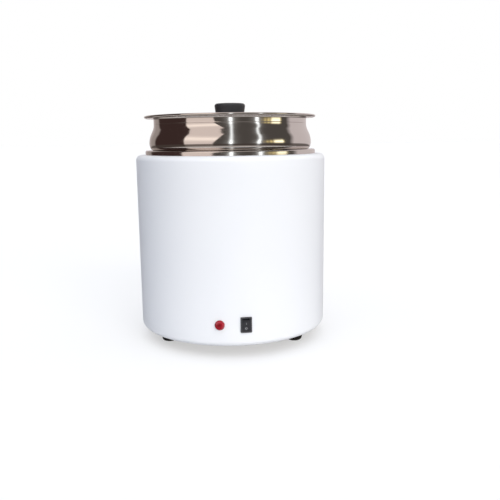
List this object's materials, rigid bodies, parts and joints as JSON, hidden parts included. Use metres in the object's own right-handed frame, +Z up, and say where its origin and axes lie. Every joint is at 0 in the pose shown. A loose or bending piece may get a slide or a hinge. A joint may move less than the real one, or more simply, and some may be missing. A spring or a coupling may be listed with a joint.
{
  "type": "soup warmer",
  "caption": "Round electric soup warmer: white drum casing on feet, steel water well, lift-out steel pot with lid and knob, rocker switch and pilot lamp.",
  "frame": {"origin": "on the floor under the casing's axis, in the plane of the feet", "axes": "+Z up along the casing's axis, the switch and lamp face -Y, +X to the right as seen from the front"},
  "size_m": [0.272, 0.2818, 0.3367],
  "materials": {
    "white_enamel": "smooth white stove enamel, satin gloss",
    "polished_steel": "mirror-polished stainless steel with fine spin lines",
    "plated_steel": "zinc-plated steel",
    "black_rubber": "matt black rubber",
    "mineral_wool": "felted mineral wool",
    "element_sheath": "heat-darkened steel tube",
    "ivory_ceramic": "ivory ceramic and moulded nylon",
    "black_plastic": "satin black moulded plastic",
    "brass_tabs": "plain brass",
    "red_lens": "clear red moulded lens with facets",
    "bulb_glass": "clear glass neon bulb",
    "brown_pvc": "brown wire insulation",
    "blue_pvc": "blue wire insulation"
  },
  "bodies": {
    "casing": {"outer_shell": "white_enamel", "water_well": "polished_steel", "base_plate": "plated_steel", "base_screws": "plated_steel", "foot_screws": "plated_steel", "foot_nuts": "plated_steel", "well_clips": "plated_steel", "clamp_bar": "plated_steel", "clamp_stud": "plated_steel", "clamp_nut": "plated_steel", "stat_brackets": "plated_steel", "stat_studs": "plated_steel", "stat_nuts": "plated_steel", "block_screws": "plated_steel", "earth_stud": "plated_steel", "foot_front_left": "black_rubber", "foot_front_right": "black_rubber", "foot_rear": "black_rubber", "well_gasket": "black_rubber", "insulation_sleeve": "mineral_wool", "heating_element": "element_sheath", "element_terminals": "ivory_ceramic", "terminal_block": "ivory_ceramic", "thermostat": "black_plastic", "overheat_cutout": "black_plastic", "switch_housing": "black_plastic", "lamp_holder": "black_plastic", "lamp_nut": "black_plastic", "cord_gland": "black_plastic", "gland_nut": "black_plastic", "stat_tabs": "brass_tabs", "switch_tabs": "brass_tabs", "earth_nut": "brass_tabs", "lamp_lens": "red_lens", "lamp_bulb": "bulb_glass", "wire_live": "brown_pvc", "wire_switched": "brown_pvc", "wire_link": "brown_pvc", "wire_element": "brown_pvc", "wire_neutral": "blue_pvc", "lamp_leads": "blue_pvc"},
    "pot": {"food_pot": "polished_steel"},
    "lid": {"lid": "polished_steel", "lid_knob": "black_plastic", "knob_screw": "plated_steel", "knob_washer": "black_rubber"},
    "rocker": {"switch_rocker": "black_plastic"}
  },
  "joints": [
    {"name": "pot_lift", "type": "slide", "parent": "casing", "child": "pot", "axis": [0, 0, 1], "range_m": [0, 0.2]},
    {"name": "lid_lift", "type": "slide", "parent": "pot", "child": "lid", "axis": [0, 0, 1], "range_m": [0, 0.12]},
    {"name": "switch_rock", "type": "hinge", "parent": "casing", "child": "rocker", "pos_m": [0.01692, -0.13192, 0.047], "axis": [-0.9919, -0.1272, 0], "range_deg": [0, 22]}
  ]
}
